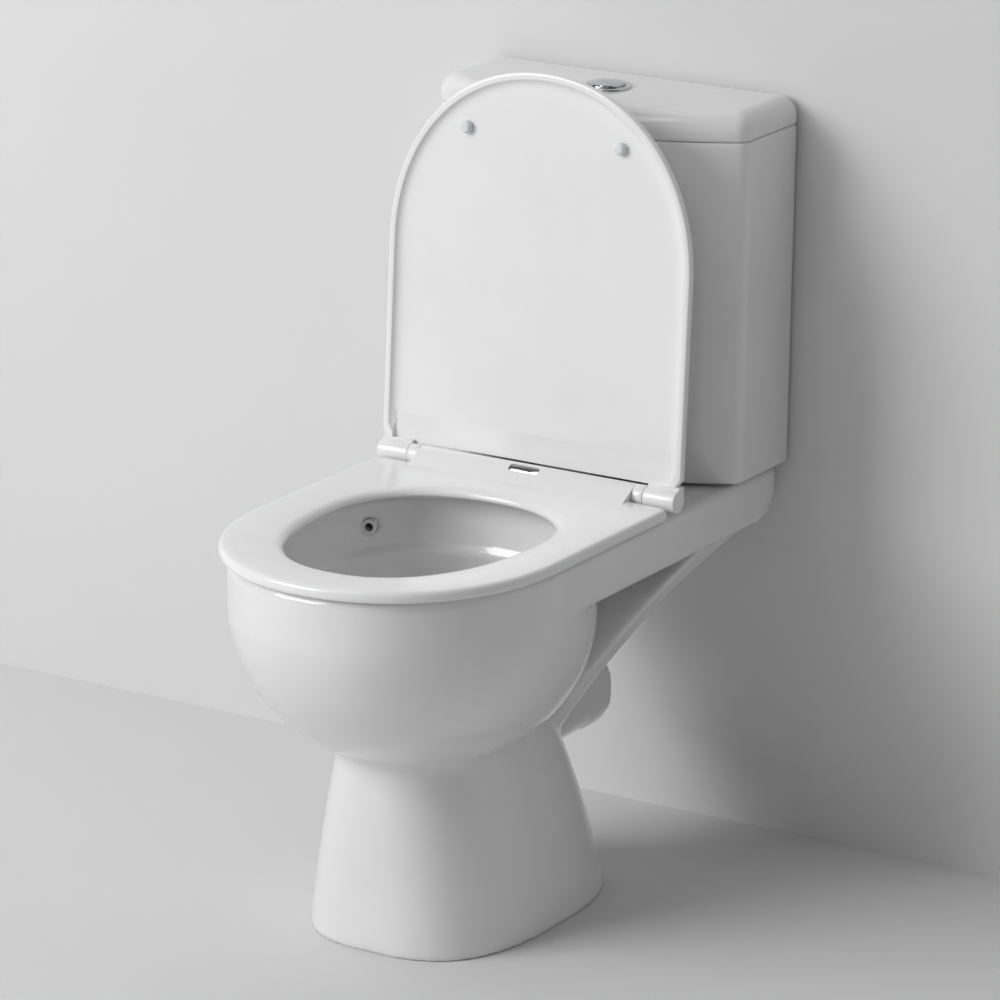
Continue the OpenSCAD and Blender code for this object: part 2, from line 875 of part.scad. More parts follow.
module lid() {
    color(plastic_white)
        opened()
            difference() {
                union() {
                    translate([0, 0, hinge_z])
                        linear_extrude(lid_t)
                            polygon(dee(lid_w / 2, lid_front, lid_mid, lid_rear));
                    both_sides() {
                        on_hinge(post_out + clear, barrel_end, barrel_r);
                        translate([post_out + clear, lid_rear - 2, hinge_z])
                            cube([barrel_end - post_out - clear, barrel_r + 3, lid_t]);
                    }
                }
                translate([0, 0, hinge_z - through])
                    linear_extrude(lid_recess + through)
                        polygon(dee(lid_w / 2 - lid_rim_w, lid_front + lid_rim_w, lid_mid,
                            lid_rear - lid_rim_w));
                both_sides()
                    on_hinge(post_out + clear - through, barrel_end - 4, cartridge_r + fit);
            }
}

module lid_cartridge() {
    difference() {
        on_hinge(post_out + clear, barrel_end - 4.2, cartridge_r);
        on_hinge(post_out, barrel_end - 8, pin_r + fit);
    }
}

module lid_damper() {
    color(valve_grey)
        lid_cartridge();
}

module lid_bush() {
    color(nylon)
        mirror([1, 0, 0]) lid_cartridge();
}

buffer_x = 92;
buffer_along = 352;         // from the hinge axis, along the lid
module lid_buffers() {
    color(clear_rubber)
        opened()
            both_sides()
                translate([buffer_x, hinge_y - buffer_along, 0]) {
                    translate([0, 0, seat_top + 0.3])
                        cylinder(r1 = 4.5, r2 = 6.5, h = 2);
                    translate([0, 0, seat_top + 2.3])
                        cylinder(r = 6.5, h = hinge_z + lid_recess - seat_top - 2.3);
                }
}

// ---------------------------------------------------------------- flush valve

module valve_base() {
    color(valve_grey)
        difference() {
            union() {
                translate([0, valve_y, slab_z - 6]) cylinder(r = tail_r, h = tank_floor - slab_z + 9);
                translate([0, valve_y, tank_floor + 2.5]) cylinder(r = 38, h = 9.5);
            }
            translate([0, valve_y, slab_z - 6 - through]) cylinder(r = tail_r - 4, h = 60);
        }
}

module valve_base_washer() {
    color(rubber_dark)
        ring_z(0, valve_y, tank_floor, 2.5, 38, tail_r + 0.3);
}

module valve_backnut() {
    color(valve_grey)
        ring_z(0, valve_y, slab_z + 8, tank_z - slab_z - 8.2, 39.5, tail_r + fit);
}

module valve_cage() {
    top_z = cage_z;
    color(valve_grey)
        translate([0, valve_y, 0])
            difference() {
                union() {
                    for (k = [0 : 3])
                        rotate([0, 0, 45 + 90 * k])
                            translate([38.2, -4, tank_floor + 4])
                                cube([4.5, 8, top_z - tank_floor - 2]);
                    translate([0, 0, tank_floor + 4]) cylinder(r = 42.7, h = 6);
                    translate([0, 0, top_z]) cylinder(r = 42.7, h = 6);
                    translate([0, 0, top_z]) cylinder(r = 17, h = guide_z - top_z);
                    translate([0, 0, guide_z]) cylinder(r = 25, h = 7);
                }
                translate([0, 0, top_z - through]) cylinder(r = 14.2, h = guide_z - top_z + 10);
                translate([0, 0, tank_floor + 3]) cylinder(r = 38.05, h = 8.4);
                // windows that let the water level through the guide
                for (k = [0 : 1])
                    rotate([0, 0, 90 * k])
                        translate([-4, -20, top_z + 24])
                            cube([8, 40, guide_z - top_z - 48]);
            }
}

module valve_plunger() {
    color(plastic_white)
        translate([0, valve_y, 0])
            difference() {
                union() {
                    translate([0, 0, valve_seat_z + 3.1]) cylinder(r = 33, h = 4);
                    translate([0, 0, valve_seat_z + 3.1])
                        cylinder(r = 13.6, h = guide_z + 1.9 - valve_lift - valve_seat_z);
                }
                translate([0, 0, valve_seat_z]) cylinder(r = 11.5, h = guide_z);
            }
}

module valve_seal() {
    color(rubber_dark)
        ring_z(0, valve_y, valve_seat_z + 0.1, 3, 31, 11.5);
}

module valve_float() {
    color(valve_grey)
        translate([0, valve_y, valve_seat_z + 28])
            difference() {
                cylinder(r = 35, h = 52);
                translate([0, 0, -through]) cylinder(r = 13.6, h = 54);
                translate([0, 0, -through])
                    difference() {
                        cylinder(r = 32, h = 46);
                        cylinder(r = 17, h = 46);
                    }
            }
}

// ---------------------------------------------------------------- flush buttons

sleeve_r = 22;
button_floor = tank_lid_top - 30;
button_top = tank_lid_top + 7.5;

module button_ring() {
    color(chrome)
        translate([0, valve_y, 0])
            difference() {
                union() {
                    translate([0, 0, tank_lid_top + 1]) cylinder(r1 = ring_r, r2 = ring_r - 1.2, h = 1.5);
                    translate([0, 0, tank_lid_top]) cylinder(r = ring_r, h = 1);
                    translate([0, 0, button_floor]) cylinder(r = sleeve_r, h = tank_lid_top - button_floor);
                }
                translate([0, 0, button_floor + 2]) cylinder(r = button_r + clear, h = 60);
                for (y = [full_rod_y, half_rod_y])
                    translate([0, y, button_floor - through]) cylinder(r = 3 + clear, h = 5);
            }
}

module button_nut() {
    color(nylon)
        hex_nut(0, valve_y, tank_lid_top - 21, 8, 54, sleeve_r + fit);
}

full_rod_y = -6;
half_rod_y = 14.2;
half_rod_r = 2.5;
crescent_y = -12;
crescent_r = 22;

// Domed disc with a short skirt, cut in two by a round line
module button_body() {
    intersection() {
        translate([0, 0, button_top - 12]) cylinder(r = button_r, h = 14);
        translate([0, 0, button_top - 60]) sphere(r = 60, $fn = 96);
    }
}

module full_button() {
    color(chrome)
        translate([0, valve_y, 0]) {
            intersection() {
                button_body();
                translate([0, crescent_y, button_top - 20]) cylinder(r = crescent_r, h = 40);
            }
            translate([0, full_rod_y, rod_z]) cylinder(r = 3, h = button_top - 10 - rod_z);
        }
}

module half_button() {
    color(chrome)
        translate([0, valve_y, 0]) {
            difference() {
                button_body();
                translate([0, crescent_y, button_top - 20]) cylinder(r = crescent_r + clear, h = 40);
            }
            translate([0, half_rod_y, rod_z]) cylinder(r = half_rod_r, h = button_top - 10 - rod_z);
        }
}

module full_spring() {
    color(steel)
        coil(0, valve_y + full_rod_y, button_floor + 2.2, button_top - 14.4 - button_floor, 4.6, 0.6, 5);
}

module half_spring() {
    color(steel)
        coil(0, valve_y + half_rod_y, button_floor + 2.2, button_top - 14.4 - button_floor, 3.3, 0.4, 6);
}

// ---------------------------------------------------------------- fill valve

module fill_valve() {
    color(valve_grey)
        translate([stem_x, stem_y, 0])
            difference() {
                union() {
                    // inlet thread, flange, riser and the cap that holds the float's valve
                    translate([0, 0, slab_z - inlet_l - 2]) cylinder(r = inlet_r, h = inlet_l);
                    translate([0, 0, slab_z - 2]) cylinder(r = inlet_r - 0.2, h = tank_floor - slab_z + 5);
                    translate([0, 0, tank_floor + 2.5]) cylinder(r = 17, h = 4);
                    translate([0, 0, tank_floor + 6]) cylinder(r = riser_r, h = cap_z - tank_floor - 6);
                    translate([0, 0, cap_z - cap_h]) cylinder(r = 17, h = cap_h);
                    translate([0, 0, cap_z]) cylinder(r1 = 17, r2 = 12, h = 5);
                }
                translate([0, 0, slab_z - inlet_l - 3])
                    cylinder(r = 6, h = cap_z - slab_z + inlet_l - 18);
            }
}

module inlet_washer() {
    color(rubber_dark)
        ring_z(stem_x, stem_y, tank_floor, 2.5, 17, inlet_r + fit);
}

module inlet_nut() {
    color(nylon)
        hex_nut(stem_x, stem_y, pan_h - 4.5, tank_z - pan_h + 4.2, 30, inlet_r + fit);
}

// Guide tube round the riser, which the float slides on
module fill_tube() {
    color(nylon)
        ring_z(stem_x, stem_y, tank_floor + 6.7, cap_z - cap_h - tank_floor - 8, guide_r, riser_r + fit);
}

module fill_float() {
    float_h = 60;
    color(plastic_white)
        translate([stem_x, stem_y, cap_z - cap_h - 10 - float_travel - float_h])
            difference() {
                cylinder(r = 30, h = float_h);
                translate([0, 0, -through]) cylinder(r = guide_r + clear, h = float_h + 2 * through);
                translate([0, 0, -through])
                    difference() {
                        cylinder(r = 27.5, h = float_h - 6);
                        cylinder(r = 16, h = float_h - 6);
                    }
            }
}

pan();
floor_screws();
screw_caps();
jet_nozzles();
cistern();
cistern_lid();
coupling_gasket();
coupling_bolts();
bolt_seals();
coupling_washers();
coupling_nuts();
hinge_post_left();
hinge_post_right();
hinge_pin_left();
hinge_pin_right();
seat_studs();
stud_sleeves();
stud_washers();
stud_nuts();
seat();
seat_damper();
seat_bush();
seat_buffers();
release_button();
lid();
lid_damper();
lid_bush();
lid_buffers();
valve_base();
valve_base_washer();
valve_backnut();
valve_cage();
valve_plunger();
valve_seal();
valve_float();
button_ring();
button_nut();
full_button();
half_button();
full_spring();
half_spring();
fill_valve();
inlet_washer();
inlet_nut();
fill_float();
fill_tube();
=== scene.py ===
import json
from math import acos, atan2, cos, pi, radians, sin, sqrt, tan

import bpy
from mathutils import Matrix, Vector

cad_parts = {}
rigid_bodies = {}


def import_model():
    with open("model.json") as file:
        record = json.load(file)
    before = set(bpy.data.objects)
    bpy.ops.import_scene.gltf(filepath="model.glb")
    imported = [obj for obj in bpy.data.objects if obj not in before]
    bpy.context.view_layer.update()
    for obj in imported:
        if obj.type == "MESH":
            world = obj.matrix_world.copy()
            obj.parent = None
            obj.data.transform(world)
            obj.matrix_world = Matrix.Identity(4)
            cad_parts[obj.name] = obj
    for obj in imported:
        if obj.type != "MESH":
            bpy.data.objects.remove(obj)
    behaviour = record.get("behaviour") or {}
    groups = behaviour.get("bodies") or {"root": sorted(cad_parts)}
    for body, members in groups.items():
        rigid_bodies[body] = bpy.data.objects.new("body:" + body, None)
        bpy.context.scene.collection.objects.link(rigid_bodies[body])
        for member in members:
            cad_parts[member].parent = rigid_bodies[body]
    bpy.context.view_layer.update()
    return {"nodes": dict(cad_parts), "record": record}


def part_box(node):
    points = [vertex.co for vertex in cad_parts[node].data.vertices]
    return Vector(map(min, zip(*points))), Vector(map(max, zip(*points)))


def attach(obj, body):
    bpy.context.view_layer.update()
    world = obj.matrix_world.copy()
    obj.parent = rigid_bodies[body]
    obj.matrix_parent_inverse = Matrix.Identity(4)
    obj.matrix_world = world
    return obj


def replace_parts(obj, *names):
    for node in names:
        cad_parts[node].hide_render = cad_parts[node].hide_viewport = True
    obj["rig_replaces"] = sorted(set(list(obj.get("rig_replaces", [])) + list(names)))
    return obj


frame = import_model()

# ---------------------------------------------------------------- pan
# One slip-cast piece of vitreous china: bowl, waist, foot, rear shelf, web, trap and outlet.
# It is cast in plaster moulds, so every edge is soft, and fired under a thick white glaze.
pan_low, pan_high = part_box("pan")
tank_low, tank_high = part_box("cistern")
hinge_y = 0.101
hinge_z = 0.427
rim_top = pan_high.z
band_low = rim_top - 0.051
pan_front = pan_low.y
half_pan = pan_high.x
widest_y = pan_high.y - 0.428
waist_z = 0.200
back_line = pan_high.y + 0.002
china_wall = 0.012
slab_under = 0.395
slab_middle = 0.403
slab_cut = 0.024
valve_y = 0.253
bolt_x = 0.078
stud_x = 0.0775
inlet_x, inlet_y = 0.135, 0.248
lug_x, lug_y = 0.072, 0.073
screw_hole_r = 0.0055


def signed_power(value, n):
    """Power of a sine or cosine that squares up a circle, with its sign kept."""
    return (1 if value >= 0 else -1) * abs(value) ** (2 / n)


def egg(z, middle, half, front, rear, n=2.1, sides=120):
    """Level ring, half wide, reaching front and rear from its widest line."""
    ring = []
    for i in range(sides):
        a = 2 * pi * i / sides
        reach = rear if sin(a) >= 0 else front
        ring.append((half * signed_power(cos(a), n), middle + reach * signed_power(sin(a), n), z))
    return ring


def loft(name, rings, closed=False):
    """A circle pulled up ring by ring. Each ring has its own outline; the ends are filled or joined."""
    sides = len(rings[0])
    bpy.ops.object.select_all(action="DESELECT")
    bpy.ops.mesh.primitive_circle_add(vertices=sides, radius=1, location=(0, 0, 0))
    piece = bpy.context.object
    piece.name = name
    bpy.ops.object.mode_set(mode="EDIT")
    bpy.ops.mesh.select_all(action="SELECT")
    for _ in rings[1:]:
        bpy.ops.mesh.extrude_region_move(TRANSFORM_OT_translate={"value": (0, 0, 1)})
    bpy.ops.object.mode_set(mode="OBJECT")
    start = atan2(piece.data.vertices[0].co.y, piece.data.vertices[0].co.x)
    for v in piece.data.vertices:
        step = round((atan2(v.co.y, v.co.x) - start) * sides / (2 * pi)) % sides
        v.co = rings[round(v.co.z)][step]
    bpy.ops.object.mode_set(mode="EDIT")
    bpy.ops.mesh.select_mode(type="EDGE")
    bpy.ops.mesh.select_all(action="DESELECT")
    bpy.ops.mesh.select_non_manifold()
    if closed:
        bpy.ops.mesh.bridge_edge_loops()
    else:
        bpy.ops.mesh.fill_holes(sides=0)
    bpy.ops.mesh.select_all(action="SELECT")
    bpy.ops.mesh.normals_make_consistent(inside=False)
    bpy.ops.object.mode_set(mode="OBJECT")
    return piece


def rod(name, centre, radius, length, axis="Z", sides=64):
    """Round bar centred on a point."""
    turn = {"X": (0, pi / 2, 0), "Y": (pi / 2, 0, 0), "Z": (0, 0, 0)}[axis]
    bpy.ops.object.select_all(action="DESELECT")
    bpy.ops.mesh.primitive_cylinder_add(
        vertices=sides, radius=radius, depth=length, location=centre, rotation=turn
    )
    bpy.ops.object.transform_apply(location=True, rotation=True, scale=True)
    bpy.context.object.name = name
    return bpy.context.object


def block(name, low, high):
    """Rectangular bar between two corners."""
    size = [b - a for a, b in zip(low, high)]
    bpy.ops.object.select_all(action="DESELECT")
    bpy.ops.mesh.primitive_cube_add(size=1, location=[(a + b) / 2 for a, b in zip(low, high)])
    bpy.ops.transform.resize(value=size)
    bpy.ops.object.transform_apply(location=True, rotation=True, scale=True)
    bpy.context.object.name = name
    return bpy.context.object


def combine(piece, others, operation):
    """Joins the others into one tool, then adds it to the piece or cuts it away."""
    bpy.ops.object.select_all(action="DESELECT")
    for other in others:
        other.select_set(True)
    bpy.context.view_layer.objects.active = others[0]
    if len(others) > 1:
        bpy.ops.object.join()
    tool = others[0]
    bpy.ops.object.select_all(action="DESELECT")
    piece.select_set(True)
    bpy.context.view_layer.objects.active = piece
    cut = piece.modifiers.new(operation, "BOOLEAN")
    cut.operation = operation
    cut.solver = "EXACT"
    cut.use_self = True
    cut.object = tool
    bpy.ops.object.modifier_apply(modifier=cut.name)
    bpy.data.objects.remove(tool)
    return piece


def apply_modifier(piece, kind, **settings):
    bpy.ops.object.select_all(action="DESELECT")
    piece.select_set(True)
    bpy.context.view_layer.objects.active = piece
    modifier = piece.modifiers.new(kind, kind)
    for key, value in settings.items():
        setattr(modifier, key, value)
    bpy.ops.object.modifier_apply(modifier=modifier.name)


def smooth(piece, angle):
    bpy.ops.object.select_all(action="DESELECT")
    piece.select_set(True)
    bpy.context.view_layer.objects.active = piece
    bpy.ops.object.shade_smooth_by_angle(angle=radians(angle))


# bowl: an egg with its widest line at the rim, drawn in to the waist
bowl_front = widest_y - pan_front
bowl_rings = []
for drop in [0.93, 0.9, 0.86, 0.81, 0.75, 0.69, 0.62, 0.55, 0.47, 0.39, 0.31, 0.23, 0.15, 0.08, 0]:
    full = (1 - drop**2.05) ** (1 / 2.05)
    bowl_rings.append(
        egg(
            0.352 - 0.172 * drop, widest_y + 0.021 * drop,
            half_pan * full, bowl_front * full, 0.181 * full, 2.09
        )
    )
sump_rings = [
    egg(0.055, widest_y + 0.048, 0.037, 0.039, 0.041),
    egg(0.070, widest_y + 0.046, 0.049, 0.053, 0.055),
    egg(0.126, widest_y + 0.040, 0.054, 0.059, 0.061),
    egg(0.174, widest_y + 0.029, 0.063, 0.071, 0.071),
]
bowl_lip = egg(0.3625, widest_y, half_pan - 0.0002, bowl_front - 0.0002, 0.181, 2.09)
bowl = loft("bowl", sump_rings + bowl_rings + [bowl_lip])

# foot: flares to the floor, hollow underneath
foot_front = pan_front + 0.118
foot_rear = pan_high.y - 0.186


def foot_ring(z, wall):
    q = min(z, waist_z) / waist_z
    ease = 0.55 * q + 0.45 * q * q
    front = foot_front + 0.005 * ease + wall
    rear = foot_rear - 0.057 * ease - wall
    half = 0.1225 - 0.0365 * ease - wall
    length = (rear - front) / 2
    return egg(z, (front + rear) / 2, half, length, length, 2.8 - 0.5 * q)


foot = loft(
    "foot",
    [foot_ring(0, 0.0015), foot_ring(0.002, 0.0003)]
    + [foot_ring(waist_z * k / 12, 0) for k in range(1, 13)]
    + [foot_ring(waist_z + 0.024, 0.010)],
)

# rim and rear shelf: one deep band, its top edge rounded and its lower rear edge well rounded
shelf_rear = pan_high.y


def band_ring(z, inset, sides=120):
    lift = z - band_low
    rear = shelf_rear - inset
    if lift < 0.032:
        rear -= 0.032 - sqrt(max(0.032**2 - (0.032 - lift) ** 2, 0))
    ring = []
    for i in range(sides):
        a = 2 * pi * i / sides
        if sin(a) >= 0:
            x, y = signed_power(cos(a), 34), widest_y + (rear - widest_y) * signed_power(sin(a), 34)
        else:
            x = signed_power(cos(a), 2.09)
            y = widest_y + (bowl_front - inset) * signed_power(sin(a), 2.09)
        ring.append(((half_pan - inset) * x, y, z))
    return ring


band_levels = [(0, 0.0001), (0.001, 0), (0.003, 0)]
band_levels += [(0.032 * (1 - cos(radians(a))), 0) for a in (30, 45, 60, 75)]
band_levels += [(0.036, 0), (0.044, 0), (0.0465, 0.0006), (0.0485, 0.0016), (0.050, 0.003), (0.051, 0.005)]
band = loft("rim and shelf", [band_ring(band_low + lift, inset) for lift, inset in band_levels])


# web: widens from the waist up to the shelf, open at the back
def web_ring(u, wall, front_wall, reach):
    front = back_line - (0.268 - 0.030 * u - 0.090 * max(u, 0) ** 2.5) + front_wall
    back = back_line - (0.236 - 0.055 * u - 0.135 * u**3) + reach
    half = 0.076 + 0.094 * u - wall
    middle, length = (front + back) / 2, (back - front) / 2
    return egg(waist_z + 0.162 * u, middle, half, length, length, 14)


web_rings = [web_ring(-0.2 + 1.2 * k / 12, 0, 0, 0) for k in range(13)]
web_rings.append([(x, y, slab_under + 0.002) for x, y, _ in web_ring(1, 0, 0, 0)])
web = loft("web", web_rings)

# trap: a bent tube from the sump up over the weir and down to the outlet
outlet_z = 0.179
weir_z = 0.226
dip_z = 0.096
bend = 0.048
rise = radians(60)
fall = acos(1 - (weir_z - outlet_z) / (2 * bend))
trap_start = back_line - 0.362
crest = trap_start + 2 * bend * sin(rise) + (weir_z - dip_z - 2 * bend * (1 - cos(rise))) / tan(rise)
trap_end = crest + 2 * bend * sin(fall)


def tube_ring(y, z, slope, radius, sides=48):
    return [
        (
            radius * cos(2 * pi * k / sides),
            y - radius * sin(2 * pi * k / sides) * sin(slope),
            z + radius * sin(2 * pi * k / sides) * cos(slope),
        )
        for k in range(sides)
    ]


trap_line = [(trap_start - 0.022, dip_z, 0)]
for k in range(9):
    a = rise * k / 8
    trap_line.append((trap_start + bend * sin(a), dip_z + bend * (1 - cos(a)), a))
for k in range(17):
    a = rise - (rise + fall) * k / 16
    trap_line.append((crest - bend * sin(a), weir_z - bend * (1 - cos(a)), a))
for k in range(1, 9):
    a = -fall * (1 - k / 8)
    trap_line.append((trap_end + bend * sin(a), outlet_z + bend * (1 - cos(a)), a))
trap = loft("trap", [tube_ring(y, z, a, 0.040) for y, z, a in trap_line])

outlet_end = back_line - 0.134
spigot = rod("outlet", (0, outlet_end - 0.014, outlet_z), 0.051, 0.028, "Y")
pipe_start = 0.087
pipe_middle = (pipe_start + outlet_end) / 2 - 0.001
pipe = rod("outlet pipe", (0, pipe_middle, outlet_z), 0.050, outlet_end - pipe_start - 0.002, "Y")
duct_half, duct_low, duct_rear = 0.046, 0.352, 0.299
duct = block("flush duct", (-duct_half, 0.068, duct_low), (duct_half, duct_rear, slab_under + 0.002))
lugs = []
for s in (-1, 1):
    lug_middle = s * (lug_x + 0.0015)
    lug_low = (lug_middle - 0.0145, lug_y - 0.0125, 0)
    lug_high = (lug_middle + 0.0145, lug_y + 0.020, 0.014)
    lugs.append(block("lug", lug_low, lug_high))

pan = combine(bowl, [foot, band, web, trap, pipe, spigot, duct] + lugs, "UNION")
pan.name = "glazed_pan"

# insides: mouth and bowl with its ledge, foot, web, shelf pocket, passages and fixing holes
inner_rings = []
for drop in [0.93, 0.88, 0.82, 0.75, 0.67, 0.58, 0.48, 0.38, 0.27, 0.15, 0.06, 0]:
    full = (1 - drop**2.3) ** (1 / 2.3)
    inner_rings.append(
        egg(band_low - 0.010 - 0.164 * drop, widest_y + 0.021 * drop, (half_pan - 0.034) * full,
            (bowl_front - 0.034) * full, 0.162 * full)
    )
sump_inside = [
    egg(0.066, widest_y + 0.048, 0.026, 0.028, 0.030),
    egg(0.081, widest_y + 0.046, 0.038, 0.042, 0.044),
    egg(0.126, widest_y + 0.040, 0.043, 0.048, 0.050),
    egg(0.174, widest_y + 0.029, 0.052, 0.060, 0.060),
]
mouth = [(0.357, 0.002), (rim_top - 0.006, 0), (rim_top - 0.002, -0.0015), (rim_top + 0.002, -0.004)]
rim_width = 0.026
mouth_rings = [
    egg(z, widest_y, half_pan - rim_width - t, bowl_front - rim_width - t, 0.170 - t) for z, t in mouth
]
bowl_inside = loft("bowl inside", sump_inside + inner_rings + mouth_rings)
foot_levels = [-0.002] + [waist_z * q for q in (0.2, 0.4, 0.6, 0.75, 0.9)]
foot_inside = loft("foot inside", [foot_ring(z, china_wall) for z in foot_levels])
web_hollow = (china_wall, china_wall + 0.004, 0.120)
web_hollow_rings = [web_ring(0.3 + 0.7 * k / 8, *web_hollow) for k in range(9)]
web_hollow_rings.append([(x, y, slab_under - 0.001) for x, y, _ in web_ring(1, *web_hollow)])
web_inside = loft("web inside", web_hollow_rings)
pocket = block(
    "shelf pocket",
    (-half_pan + china_wall, 0.098, band_low - 0.004),
    (half_pan - china_wall, shelf_rear - china_wall, slab_under),
)
keep_low = (-duct_half, 0.060, duct_low)
keep_high = (duct_half, duct_rear, slab_under + 0.001)
pocket = combine(pocket, [block("duct keep", keep_low, keep_high)], "DIFFERENCE")
web_inside = combine(web_inside, [block("duct keep", keep_low, keep_high)], "DIFFERENCE")
passage = loft("trap passage", [tube_ring(y, z, a, 0.030) for y, z, a in trap_line])
bore_start, bore_stop = 0.147, outlet_end + 0.002
bore = rod("outlet bore", (0, (bore_start + bore_stop) / 2, outlet_z), 0.043, bore_stop - bore_start, "Y")
arch_r, arch_z, arch_length = 0.046, 0.064, 0.090
arch = rod("foot arch", (0, lug_y + arch_length / 2, arch_z), arch_r, arch_length, "Y")
arch_low = block("foot arch low", (-arch_r, lug_y, -0.004), (arch_r, lug_y + arch_length, arch_z))
flush_way = block("flush way", (-0.034, 0.072, 0.361), (0.034, 0.287, 0.387))
flush_drop = rod("flush drop", (0, valve_y, 0.400), 0.034, 0.052)
gasket_seat = rod("gasket seat", (0, valve_y, 0.405), 0.050, 0.020)
pan = combine(pan, [bowl_inside], "DIFFERENCE")
pan = combine(pan, [foot_inside, arch, arch_low], "DIFFERENCE")
pan = combine(pan, [pocket, web_inside], "DIFFERENCE")
pan = combine(pan, [passage, bore, flush_way, flush_drop, gasket_seat], "DIFFERENCE")
holes = []
for s in (-1, 1):
    holes.append(rod("stud hole", (s * stud_x, hinge_y, slab_middle), 0.007, slab_cut, sides=32))
    recess_low = band_low - 0.004
    recess_z = (recess_low + slab_under) / 2
    holes.append(rod("stud recess", (s * stud_x, hinge_y, recess_z), 0.023, slab_under - recess_low))
    jet_from = Vector((s * 0.146, widest_y + 0.148, 0.378))
    jet_to = Vector((s * 0.122, widest_y + 0.094, 0.380))
    jet = rod("jet", (0, 0, 0), 0.008, (jet_to - jet_from).length + 0.004, sides=32)
    jet.rotation_euler = (jet_to - jet_from).to_track_quat("Z", "Y").to_euler()
    jet.location = (jet_from + jet_to) / 2
    bpy.ops.object.transform_apply(location=True, rotation=True, scale=True)
    holes.append(jet)
    holes.append(rod("bolt hole", (s * bolt_x, valve_y, slab_middle), screw_hole_r, slab_cut, sides=32))
    holes.append(rod("inlet hole", (s * inlet_x, inlet_y, slab_middle), 0.020, slab_cut, sides=48))
    holes.append(rod("lug hole", (s * lug_x, lug_y, 0.008), 0.0045, 0.020, sides=32))
pan = combine(pan, holes, "DIFFERENCE")

# the glaze runs over every edge, so the whole casting is softened at once
apply_modifier(pan, "REMESH", mode="VOXEL", voxel_size=0.003)
apply_modifier(pan, "SMOOTH", factor=0.5, iterations=5)
# the waist is a wide soft hollow, so it is softened further
waist_reach = 0.045
waist_back = 0.16
waist = pan.vertex_groups.new(name="waist")
for v in pan.data.vertices:
    if abs(v.co.z - waist_z) < waist_reach and v.co.y < waist_back:
        waist.add([v.index], (1 - abs(v.co.z - waist_z) / waist_reach) ** 0.5, "REPLACE")
apply_modifier(pan, "SMOOTH", factor=0.5, iterations=60, vertex_group="waist")
for polygon in pan.data.polygons:
    polygon.use_smooth = True


def noise(nodes, links, place, scale, detail=3, stretch=(1, 1, 1)):
    """Noise in Object coordinates, in the units of the object."""
    mapping = nodes.new("ShaderNodeMapping")
    mapping.inputs["Scale"].default_value = stretch
    texture = nodes.new("ShaderNodeTexNoise")
    texture.inputs["Scale"].default_value = scale
    texture.inputs["Detail"].default_value = detail
    links.new(place.outputs["Object"], mapping.inputs["Vector"])
    links.new(mapping.outputs["Vector"], texture.inputs["Vector"])
    return texture


def finish_material(name, colours, roughness, colour_scale, rough_scale, bumps, **fixed):
    """Surface whose colour and roughness drift between two values, under layers of fine relief."""
    material = bpy.data.materials.new(name)
    material.use_nodes = True
    nodes, links = material.node_tree.nodes, material.node_tree.links
    shader = nodes["Principled BSDF"]
    for key, value in fixed.items():
        shader.inputs[key.replace("_", " ")].default_value = value
    place = nodes.new("ShaderNodeTexCoord")
    tint = nodes.new("ShaderNodeValToRGB")
    tint.color_ramp.elements[0].position, tint.color_ramp.elements[1].position = 0.3, 0.7
    tint.color_ramp.elements[0].color = (*colours[0], 1)
    tint.color_ramp.elements[1].color = (*colours[1], 1)
    links.new(noise(nodes, links, place, colour_scale).outputs["Fac"], tint.inputs["Fac"])
    links.new(tint.outputs["Color"], shader.inputs["Base Color"])
    rough = nodes.new("ShaderNodeMapRange")
    rough.inputs["To Min"].default_value, rough.inputs["To Max"].default_value = roughness
    links.new(noise(nodes, links, place, rough_scale).outputs["Fac"], rough.inputs["Value"])
    links.new(rough.outputs["Result"], shader.inputs["Roughness"])
    normal = None
    for scale, height, stretch in bumps:
        bump = nodes.new("ShaderNodeBump")
        bump.inputs["Strength"].default_value = 1
        bump.inputs["Distance"].default_value = height
        links.new(noise(nodes, links, place, scale, 2, stretch).outputs["Fac"], bump.inputs["Height"])
        if normal:
            links.new(normal, bump.inputs["Normal"])
        normal = bump.outputs["Normal"]
    links.new(normal, shader.inputs["Normal"])
    return material


even = (1, 1, 1)
china = finish_material(
    "glazed white china", [(0.80, 0.80, 0.795), (0.84, 0.84, 0.84)], (0.07, 0.14), 9, 14,
    [(18, 0.0006, even), (160, 0.00004, even)], IOR=1.52, Coat_Weight=0.3, Coat_Roughness=0.04
)
pan.data.materials.clear()
pan.data.materials.append(china)
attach(pan, "pan_and_cistern")
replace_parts(pan, "pan")

# ---------------------------------------------------------------- cistern
# Slip-cast china tank with a flat back, a bowed front and rounded corners, open at the top.
# It stands on the coupling gasket and is pulled down on the shelf by two bolts.
half_tank = tank_high.x
tank_back = tank_high.y
bow = 0.330


